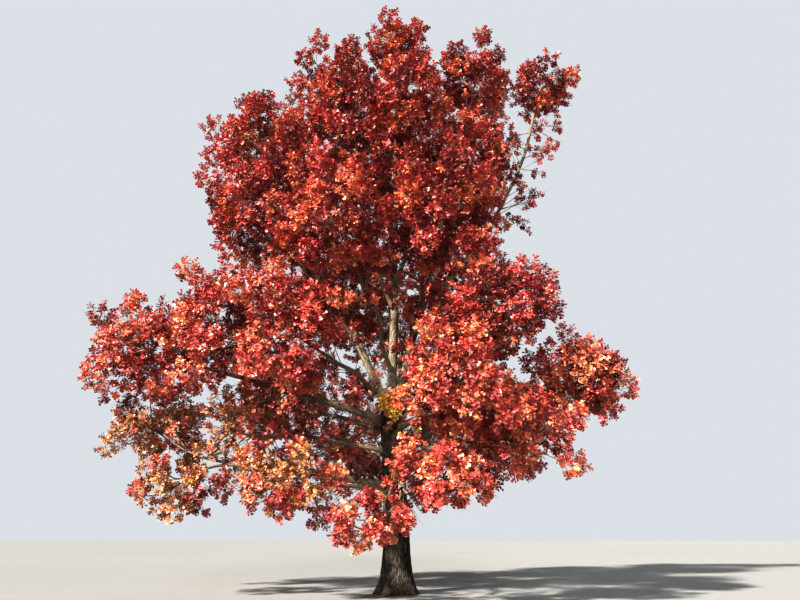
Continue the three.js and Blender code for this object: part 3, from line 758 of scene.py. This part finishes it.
def grow_leaves(lines, owners, count, rng):
    """The leaves towards the tip of each spray: where each starts, the way it points, and its face."""
    spray = np.repeat(np.arange(len(lines)), count)
    order = np.tile(np.arange(count), len(lines))
    step = (order + LEAF["uneven"] * rng.random(len(order))) / (count - LEAF["uneven"])
    share = LEAF["first"] + (1 - LEAF["first"]) * step
    foot, along = on_arcs(lines[spray], np.minimum(share, 1.0))
    side = unit(np.cross(along, rng.normal(size=along.shape)))
    turn = order * GOLDEN_ANGLE
    first = unit(np.cross(along, ASKEW))
    second = np.cross(along, first)
    around = first * np.cos(turn)[:, None] + second * np.sin(turn)[:, None]
    low, high = LEAF["lean"]
    lean = np.radians(low - (low - high) * (order / (count - 1)) ** LEAF["lean_curve"])[:, None]
    aside = unit(around + LEAF["scatter"] * side)
    way = unit(along * np.cos(lean) + aside * np.sin(lean) - (0, 0, LEAF["hang"]))
    outward = unit(foot - MIDDLES[owners[spray]] * (1, 1, LEAF["middle"]))
    face = outward * LEAF["outward"] + (0, 0, LEAF["upward"])
    face = face + rng.normal(0, LEAF["face_scatter"], foot.shape)
    face = unit(face - way * np.einsum("nk,nk->n", face, way)[:, None])
    grown = {"spray": spray, "foot": foot, "way": way, "face": face}
    for name in ("size", "fold", "droop"):
        grown[name] = rng.uniform(*LEAF[name], len(foot))
    kept = ~near_limbs(foot, LEAF["off_limbs"])
    return {name: values[kept] for name, values in grown.items()}


# Meshes from arrays
BARK = {  # a finer noise bends the ridges; part of the relief is sunk inside the plain radius
    "ridge_length": 6.5,  # as a multiple of the spacing
    "drift": 0.35, "drift_scales": (2.3, 2.3, 3.1), "steepness": 3.4, "sunk": 0.6,
    "seam": (0.13, 1.0, 0.07),  # a way that no limb takes; rings begin square to it
}
TRUNK_MESH = {
    "sides": 100, "rings": 130,
    "low_rings": 1.25,  # greater is more of them near the ground
    "crest": 0.93,  # share of the height above which the trunk closes in among the leaders
    "crest_rings": 14, "crest_relief": 0.5,
}
BOUGH_MESH = {
    "sides": 12, "ring_every": 0.13, "least_rings": 24,
    "collar": 0.45, "collar_length": 1.6,  # how much thicker the foot is, and for how many radii
    "relief": 0.07, "ridge_spacing": 0.6,  # greatest, as shares of the radius
    "least_spacing": 0.05,
}
FRAME_SIDES, TWIG_SIDES = 4, 3
TWIG_MESH = {  # radius at the foot and at the tip, and how many of the line's points make one stretch
    "branchlets": (0.011, 0.004, 1),
    "sprays": (0.005, 0.002, 4),
    "inner_twigs": (0.0143, 0.0052, 1),
    "forks": (0.0066, 0.0024, 2),
}


def mesh_object(name, points, faces, material):
    """A mesh object from arrays of points and of faces that all have the same number of corners."""
    mesh = bpy.data.meshes.new(name)
    corners = faces.shape[1]
    mesh.vertices.add(len(points))
    mesh.vertices.foreach_set("co", np.asarray(points, dtype=np.float32).ravel())
    mesh.loops.add(faces.size)
    mesh.loops.foreach_set("vertex_index", np.asarray(faces, dtype=np.int32).ravel())
    mesh.polygons.add(len(faces))
    mesh.polygons.foreach_set("loop_start", np.arange(0, faces.size, corners, dtype=np.int32))
    mesh.update(calc_edges=True)
    mesh.validate()
    mesh.materials.append(material)
    obj = bpy.data.objects.new(name, mesh)
    bpy.context.scene.collection.objects.link(obj)
    return obj


def tubes(lines, radii, sides):
    """The points and the four-cornered faces of tubes round many lines of equally many points."""
    count, length = lines.shape[:2]
    ways = unit(np.gradient(lines, axis=1))
    chord = unit(lines[:, -1] - lines[:, 0])
    side = np.cross(chord, np.where(np.abs(chord[:, 2:]) > 0.9, (1.0, 0, 0), (0, 0, 1.0)))
    first = unit(np.cross(ways, side[:, None]))
    second = np.cross(ways, first)
    angle = np.arange(sides) * 2 * np.pi / sides
    ring = first[:, :, None] * np.cos(angle)[:, None] + second[:, :, None] * np.sin(angle)[:, None]
    points = lines[:, :, None] + ring * radii[:, :, None, None]
    a = np.arange(count * length * sides).reshape(count, length, sides)
    low, high = a[:, :-1], a[:, 1:]
    faces = np.stack([low, np.roll(low, -1, axis=2), np.roll(high, -1, axis=2), high], axis=-1)
    return points.reshape(-1, 3), faces.reshape(-1, 4)


def joined(parts):
    """Points and faces of several parts as one."""
    offset, points, faces = 0, [], []
    for part_points, part_faces in parts:
        points.append(part_points)
        faces.append(part_faces + offset)
        offset += len(part_points)
    return np.concatenate(points), np.concatenate(faces)


def bark_height(x, y, along, spacing):
    """How far the bark stands out, from 0 in a furrow to 1 on a ridge: long ridges that part and join."""
    place = (x / spacing, y / spacing, along / (spacing * BARK["ridge_length"]))
    ridges = noise.noise(place, noise_basis="PERLIN_NEW")
    drift = noise.noise([p * s for p, s in zip(place, BARK["drift_scales"])], noise_basis="PERLIN_NEW")
    return 1 - min(1.0, abs(ridges + BARK["drift"] * drift) * BARK["steepness"])


def barked_tube(line, radius_at, shares, sides, depth_at, spacing):
    """A tube with bark in relief round a middle line, and each point's place in the grain of the bark."""
    places, ways = line.at(shares), line.way_at(shares)
    side = unit(np.cross(places[-1] - places[0], BARK["seam"]))
    angle = np.arange(sides) * 2 * np.pi / sides
    points, grain = [], []
    for share, place, way in zip(shares, places, ways):
        first = unit(side - way * side.dot(way))
        second = np.cross(way, first)
        along = share * line.length
        for a in angle:
            radius = radius_at(share, a)
            x, y = radius * math.cos(a), radius * math.sin(a)
            height = bark_height(x, y, along, spacing)
            out = first * math.cos(a) + second * math.sin(a)
            points.append(place + out * (radius + depth_at(share) * (height - BARK["sunk"])))
            grain.append((x, y, along))
    a = np.arange(len(points)).reshape(len(shares), sides)
    low, high = a[:-1], a[1:]
    faces = np.stack([low, np.roll(low, -1, axis=1), np.roll(high, -1, axis=1), high], axis=-1)
    return np.array(points), faces.reshape(-1, 4), np.array(grain)


def add_grain(obj, grain):
    """Keeps the bark's own coordinates on the mesh, for the material to read."""
    attribute = obj.data.attributes.new("grain", "FLOAT_VECTOR", "POINT")
    attribute.data.foreach_set("vector", np.asarray(grain, dtype=np.float32).ravel())


# Materials
def feed(tree, node, inputs):
    """Sets inputs of a node to values, or joins them to the outputs of other nodes."""
    for name, value in inputs.items():
        if isinstance(value, bpy.types.NodeSocket):
            tree.links.new(value, node.inputs[name])
        else:
            node.inputs[name].default_value = value


def add_node(tree, kind, inputs, **settings):
    node = tree.nodes.new(kind)
    for name, value in settings.items():
        setattr(node, name, value)
    feed(tree, node, inputs)
    return node


def weathering_group():
    """A node group: blotches of a second colour and a fine mottle of light and dark over a first."""
    group = bpy.data.node_groups.get("Weathering")
    if group:
        return group
    group = bpy.data.node_groups.new("Weathering", "ShaderNodeTree")
    sockets = {
        "INPUT": {
            "Vector": "Vector", "Base": "Color", "Blotch": "Color",
            "Blotch Scale": "Float", "Mottle Scale": "Float", "Mottle": "Float",
        },
        "OUTPUT": {"Color": "Color", "Height": "Float"},
    }
    for side, kinds in sockets.items():
        for name, kind in kinds.items():
            group.interface.new_socket(name, in_out=side, socket_type=f"NodeSocket{kind}")
    given = group.nodes.new("NodeGroupInput").outputs
    broad = add_node(group, "ShaderNodeTexNoise", {
        "Vector": given["Vector"], "Scale": given["Blotch Scale"]})
    fine = add_node(group, "ShaderNodeTexNoise", {
        "Vector": given["Vector"], "Scale": given["Mottle Scale"], "Detail": 6})
    edge = add_node(
        group, "ShaderNodeMapRange", {"Value": broad.outputs["Fac"], "From Min": 0.44, "From Max": 0.6})
    shade = add_node(group, "ShaderNodeMapRange", {
        "Value": fine.outputs["Fac"], "From Min": 0.3, "From Max": 0.7, "To Min": 0.55, "To Max": 1.35})
    blotched = add_node(group, "ShaderNodeMix", {}, data_type="RGBA")
    feed(group, blotched, {"Factor": edge.outputs["Result"], "A": given["Base"], "B": given["Blotch"]})
    mottled = add_node(group, "ShaderNodeMix", {}, data_type="RGBA", blend_type="MULTIPLY")
    feed(group, mottled, {
        "Factor": given["Mottle"], "A": blotched.outputs["Result"], "B": shade.outputs["Result"]})
    add_node(group, "NodeGroupOutput", {"Color": mottled.outputs["Result"], "Height": fine.outputs["Fac"]})
    return group


def weathered(tree, vector, base, blotch, scales, mottle):
    """The outputs of the weathering group, placed in a material with this material's own values."""
    group = add_node(tree, "ShaderNodeGroup", {}, node_tree=weathering_group())
    feed(tree, group, {
        "Vector": vector, "Base": (*base, 1), "Blotch": (*blotch, 1),
        "Blotch Scale": scales[0], "Mottle Scale": scales[1], "Mottle": mottle,
    })
    return group.outputs


def toned(colour, factor):
    return tuple(min(1.0, c * factor) for c in colour)


def new_material(name):
    """A material, its node tree and its shader."""
    material = bpy.data.materials.new(name)
    material.use_nodes = True
    return material, material.node_tree, material.node_tree.nodes["Principled BSDF"]


def bark_material(name, ridge, blotch, furrow, spacing, roughness):
    """Ridged bark: furrows run along the limb, ridges are paler and blotched, and both are rough."""
    material, tree, shader = new_material(name)
    grain = add_node(tree, "ShaderNodeAttribute", {}, attribute_name="grain")
    scale = (1 / spacing, 1 / spacing, 1 / (spacing * BARK["ridge_length"]))
    stretch = add_node(tree, "ShaderNodeMapping", {"Vector": grain.outputs["Vector"], "Scale": scale})
    place = stretch.outputs["Vector"]
    plates = add_node(tree, "ShaderNodeTexVoronoi", {}, feature="DISTANCE_TO_EDGE")
    feed(tree, plates, {"Vector": place, "Scale": 2.2, "Randomness": 0.9})
    crack = add_node(tree, "ShaderNodeMapRange", {"Value": plates.outputs["Distance"], "From Max": 0.22})
    worn = weathered(tree, place, ridge, blotch, scales=(0.35, 6.0), mottle=0.8)
    colour = add_node(tree, "ShaderNodeMix", {}, data_type="RGBA")
    feed(tree, colour, {"Factor": crack.outputs["Result"], "A": (*furrow, 1), "B": worn["Color"]})
    height = add_node(tree, "ShaderNodeMath", {}, operation="MULTIPLY_ADD")
    feed(tree, height, {0: worn["Height"], 1: 0.35, 2: crack.outputs["Result"]})
    bump = add_node(
        tree, "ShaderNodeBump", {"Height": height.outputs["Value"], "Strength": 0.8, "Distance": 0.02})
    feed(tree, shader, {
        "Base Color": colour.outputs["Result"], "Normal": bump.outputs["Normal"],
        "Roughness": roughness, "Specular IOR Level": 0.25,
    })
    return material


def mottled_material(name, colour, blotch, scales, mottle, finish):
    """A material with blotches and a mottle, and the height of the mottle for more nodes to read."""
    material, tree, shader = new_material(name)
    place = add_node(tree, "ShaderNodeTexCoord", {})
    worn = weathered(tree, place.outputs["Object"], colour, blotch, scales, mottle)
    feed(tree, shader, {"Base Color": worn["Color"], **finish})
    return material, worn["Height"]


def twig_material(colour):
    """Young bark: smooth brown with paler blotches."""
    finish = {"Roughness": 0.7}
    return mottled_material("Twig bark", colour, toned(colour, 1.9), (3.0, 40.0), 0.6, finish)[0]


def leaf_material(name, colour):
    """An autumn leaf: satin, and mottled towards its neighbours' tints."""
    warm = tuple(min(1.0, c * s + a) for c, s, a in zip(colour, (1.25, 1.7, 1.3), (0.02, 0.012, 0.004)))
    finish = {"IOR": 1.7, "Specular IOR Level": 0.85, "Specular Tint": (1.0, 0.79, 0.76, 1)}
    material, height = mottled_material(name, colour, warm, (2.4, 26.0), 0.55, finish)
    tree = material.node_tree
    sheen = add_node(tree, "ShaderNodeMapRange", {"Value": height, "To Min": 0.46, "To Max": 0.64})
    feed(tree, tree.nodes["Principled BSDF"], {"Roughness": sheen.outputs["Result"]})
    return material


def floor_material(colour):
    finish = {"Roughness": 0.9}
    return mottled_material("Studio floor", colour, toned(colour, 0.97), (0.05, 1.0), 0.04, finish)[0]


def studio_world(colour, light, backdrop):
    """An even surround that lights the tree softly and shows as a pale backdrop."""
    world = bpy.data.worlds.new("Studio")
    world.use_nodes = True
    tree = world.node_tree
    soft = tree.nodes["Background"]
    feed(tree, soft, {"Color": (*colour, 1), "Strength": light})
    shown = add_node(tree, "ShaderNodeBackground", {"Color": (*colour, 1), "Strength": backdrop})
    rays = add_node(tree, "ShaderNodeLightPath", {})
    mix = add_node(tree, "ShaderNodeMixShader", {
        "Fac": rays.outputs["Is Camera Ray"],
        1: soft.outputs["Background"], 2: shown.outputs["Background"],
    })
    feed(tree, tree.nodes["World Output"], {"Surface": mix.outputs["Shader"]})
    return world


# Stage
FLOOR = {"radius": 400.0, "segments": 96, "below": 0.002}
LIGHTS = {"key": (1.0, 0.965, 0.91), "fill": (0.93, 0.96, 1.0), "back": (0.93, 0.96, 1.0)}
VIEW_GAMMA = 0.74  # below 1 deepens the shadows


def far_light(name, strength, spread, bearing, height, colour):
    """A light from far off that shines on the tree from a bearing and a height above the level."""
    light = bpy.data.lights.new(name, "SUN")
    light.energy, light.angle, light.color = strength, spread, colour
    lamp = bpy.data.objects.new(name, light)
    lamp.rotation_euler = (math.pi / 2 - height, 0, bearing + math.pi / 2)
    bpy.context.scene.collection.objects.link(lamp)


# Pieces
def stand_for(piece, nodes):
    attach(piece, "root")
    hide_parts(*nodes)


class OAK_OT_trunk(bpy.types.Operator):
    """Models the trunk with its root flare and furrowed bark"""

    bl_idname = "oak.trunk"
    bl_label = "Trunk"

    def execute(self, context):
        bark = context.scene.oak_bark
        line = grow_limbs()["trunk"][0]
        sides, crest = TRUNK_MESH["sides"], TRUNK_MESH["crest"]
        body = np.linspace(0, 1, TRUNK_MESH["rings"]) ** TRUNK_MESH["low_rings"] * crest
        shares = np.concatenate([body, np.linspace(crest, 1, TRUNK_MESH["crest_rings"])[1:]])

        def radius_at(share, angle):
            height = share * TRUNK["height"]
            flare = TRUNK["flare"] + TRUNK["buttress_depth"] * math.cos(TRUNK["buttresses"] * angle)
            plain = TRUNK["foot_radius"] + (TRUNK["fork_radius"] - TRUNK["foot_radius"]) * share
            plain += flare * math.exp(-height / TRUNK["flare_height"])
            closing = max(0.0, (share - crest) / (1 - crest))
            return plain * math.sqrt(max(1e-4, 1 - closing**2))

        def depth_at(share):
            return bark.ridge_depth * (1 if share < crest else TRUNK_MESH["crest_relief"])

        points, faces, grain = barked_tube(line, radius_at, shares, sides, depth_at, bark.ridge_spacing)
        points[:sides, 2] = 0.0
        # The trunk's colours hold painted shade from the crown as well as the bark's own dark tone.
        material = bark_material(
            "Trunk bark", ridge=bark.trunk_colour_and_shade, blotch=toned(bark.trunk_colour_and_shade, 1.5),
            furrow=bark.furrow_colour_and_shade, spacing=bark.ridge_spacing, roughness=0.92)
        trunk = mesh_object("trunk_bark", points, faces, material)
        add_grain(trunk, grain)
        stand_for(trunk, ["trunk"])
        return {"FINISHED"}


class OAK_OT_boughs(bpy.types.Operator):
    """Models the boughs, thick where they leave the limb that carries them, with their bark"""

    bl_idname = "oak.boughs"
    bl_label = "Boughs"

    def execute(self, context):
        bark = context.scene.oak_bark
        limbs = grow_limbs()
        parts, grains = [], []
        for name, (parent, at, _, _, radius, _) in BOUGHS.items():
            line, foot, tip = limbs[name]
            carrier = limbs[parent]
            inside = float(tapered(carrier[1], carrier[2], at))
            rings = max(BOUGH_MESH["least_rings"], int(line.length / BOUGH_MESH["ring_every"]))

            def radius_at(share, angle):
                clear = max(0.0, share * line.length - inside)
                fade = math.exp(-clear / (BOUGH_MESH["collar_length"] * radius))
                return float(tapered(foot, tip, share)) * (1 + BOUGH_MESH["collar"] * fade)

            def depth_at(share):
                return min(bark.ridge_depth, BOUGH_MESH["relief"] * radius_at(share, 0))

            spacing = min(bark.ridge_spacing, radius * BOUGH_MESH["ridge_spacing"])
            spacing = max(BOUGH_MESH["least_spacing"], spacing)
            shares = np.linspace(0, 1, rings)
            points, faces, grain = barked_tube(
                line, radius_at, shares, BOUGH_MESH["sides"], depth_at, spacing)
            parts.append((points, faces))
            grains.append(grain)
        points, faces = joined(parts)
        # The limbs' colours, with their blotches and furrows, hold painted light as well as the bark's own
        # paler tone.
        material = bark_material(
            "Bough bark", ridge=bark.limb_colour_and_light, blotch=toned(bark.limb_colour_and_light, 0.55),
            furrow=toned(bark.limb_colour_and_light, 0.35), spacing=0.07, roughness=0.85)
        boughs = mesh_object("bough_bark", points, faces, material)
        add_grain(boughs, np.concatenate(grains))
        stand_for(boughs, [f"bough_{name}" for name in BOUGHS])
        return {"FINISHED"}


def crown_of(context):
    s = context.scene.oak_foliage
    return grow_crown(s.clumps, s.clump_radius, s.sprays, s.leaves, s.seed)


class OAK_OT_twigs(bpy.types.Operator):
    """Grows the stems, twigs and branchlets that carry the leaves"""

    bl_idname = "oak.twigs"
    bl_label = "Twigs"

    def execute(self, context):
        crown = crown_of(context)
        parts = [tubes(lines, radii, FRAME_SIDES) for lines, radii in crown["frames"]]
        for kind, (foot, tip, step) in TWIG_MESH.items():
            lines = crown[kind][:, ::step]
            radii = tapered(foot, tip, np.linspace(0, 1, lines.shape[1]))
            parts.append(tubes(lines, np.tile(radii, (len(lines), 1)), TWIG_SIDES))
        points, faces = joined(parts)
        twigs = mesh_object("twigs", points, faces, twig_material(context.scene.oak_bark.twig_colour))
        stand_for(twigs, [f"foliage_{name}" for name in NAMES])
        return {"FINISHED"}


class OAK_OT_leaves(bpy.types.Operator):
    """Sets the leaves on their sprays, joined by tint"""

    bl_idname = "oak.leaves"
    bl_label = "Leaves"

    def execute(self, context):
        leaves = crown_of(context)["leaves"]
        length = leaves["size"] * context.scene.oak_foliage.leaf_length
        side = np.cross(leaves["way"], leaves["face"])
        across, along = LEAF_POINTS[:, 0][None, :, None], LEAF_POINTS[:, 1][None, :, None]
        fold, droop = leaves["fold"][:, None, None], leaves["droop"][:, None, None]
        rise = np.abs(across) * fold * LEAF_FOLD - along**2 * droop
        points = side[:, None] * across + leaves["way"][:, None] * along + leaves["face"][:, None] * rise
        points = leaves["foot"][:, None] + points * length[:, None, None]
        per_piece = PIECE_LIMIT // len(LEAF_FACES)
        tints = context.scene.oak_tints
        for number, tint in enumerate(TINTS):
            material = leaf_material(f"{tint.capitalize()} leaf", tuple(getattr(tints, tint)))
            rows = np.nonzero(leaves["tint"] == number)[0]
            parts = np.array_split(rows, max(1, math.ceil(len(rows) / per_piece)))
            for count, part in enumerate(parts):
                corners = np.arange(len(part))[:, None, None] * len(LEAF_POINTS) + LEAF_FACES
                name = f"leaves_{tint}_{count + 1}"
                piece = mesh_object(name, points[part].reshape(-1, 3), corners.reshape(-1, 3), material)
                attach(piece, "root")
        return {"FINISHED"}


class OAK_OT_stage(bpy.types.Operator):
    """Sets the floor, the soft studio light and the camera"""

    bl_idname = "oak.stage"
    bl_label = "Stage"

    def execute(self, context):
        s = context.scene.oak_stage
        segments = FLOOR["segments"]
        angle = np.arange(segments) * 2 * np.pi / segments
        rim = np.stack([np.cos(angle), np.sin(angle), np.zeros(segments)], axis=1) * FLOOR["radius"]
        floor = mesh_object("floor", rim, np.arange(segments)[None], floor_material(s.floor_colour))
        floor.location.z = -FLOOR["below"]
        for name, colour in LIGHTS.items():
            values = [getattr(s, f"{name}_{kind}") for kind in ("strength", "spread", "bearing", "height")]
            far_light(name.capitalize(), *values, colour)
        context.scene.world = studio_world(s.surround, s.surround_strength, s.backdrop_strength)
        context.scene.view_settings.view_transform = "Standard"
        context.scene.view_settings.gamma = VIEW_GAMMA
        lens = bpy.data.cameras.new("Camera")
        lens.sensor_width = 36.0
        lens.lens = s.lens
        lens.clip_end = 1000.0
        camera = bpy.data.objects.new("Camera", lens)
        camera.location = (s.camera_side, -s.camera_distance, s.eye_height)
        camera.rotation_euler = (math.pi / 2 + s.tilt, 0, 0)
        context.scene.collection.objects.link(camera)
        context.scene.camera = camera
        return {"FINISHED"}


class OAK_PT_panel(bpy.types.Panel):
    bl_label = "Scarlet Oak"
    bl_idname = "OAK_PT_panel"
    bl_space_type = "VIEW_3D"
    bl_region_type = "UI"
    bl_category = "Scarlet Oak"

    def draw(self, context):
        for settings, operators in PANEL_ROWS:
            box = self.layout.box()
            group = getattr(context.scene, settings)
            for name in group.bl_rna.properties.keys():
                if name not in {"rna_type", "name"}:
                    box.prop(group, name)
            for operator in operators:
                box.operator(operator)


SETTINGS = {
    "oak_bark": OakBarkSettings,
    "oak_foliage": OakFoliageSettings,
    "oak_tints": OakTintSettings,
    "oak_stage": OakStageSettings,
}
PANEL_ROWS = (
    ("oak_bark", (OAK_OT_trunk.bl_idname, OAK_OT_boughs.bl_idname)),
    ("oak_foliage", (OAK_OT_twigs.bl_idname,)),
    ("oak_tints", (OAK_OT_leaves.bl_idname,)),
    ("oak_stage", (OAK_OT_stage.bl_idname,)),
)
CLASSES = (
    *SETTINGS.values(),
    OAK_OT_trunk, OAK_OT_boughs, OAK_OT_twigs, OAK_OT_leaves, OAK_OT_stage, OAK_PT_panel,
)


def register():
    for cls in CLASSES:
        bpy.utils.register_class(cls)
    for name, cls in SETTINGS.items():
        setattr(bpy.types.Scene, name, bpy.props.PointerProperty(type=cls))


def unregister():
    for name in SETTINGS:
        delattr(bpy.types.Scene, name)
    for cls in reversed(CLASSES):
        bpy.utils.unregister_class(cls)


def main():
    register()
    bpy.ops.oak.stage()
    bpy.ops.oak.trunk()
    bpy.ops.oak.boughs()
    bpy.ops.oak.twigs()
    bpy.ops.oak.leaves()


if __name__ == "__main__":
    main()
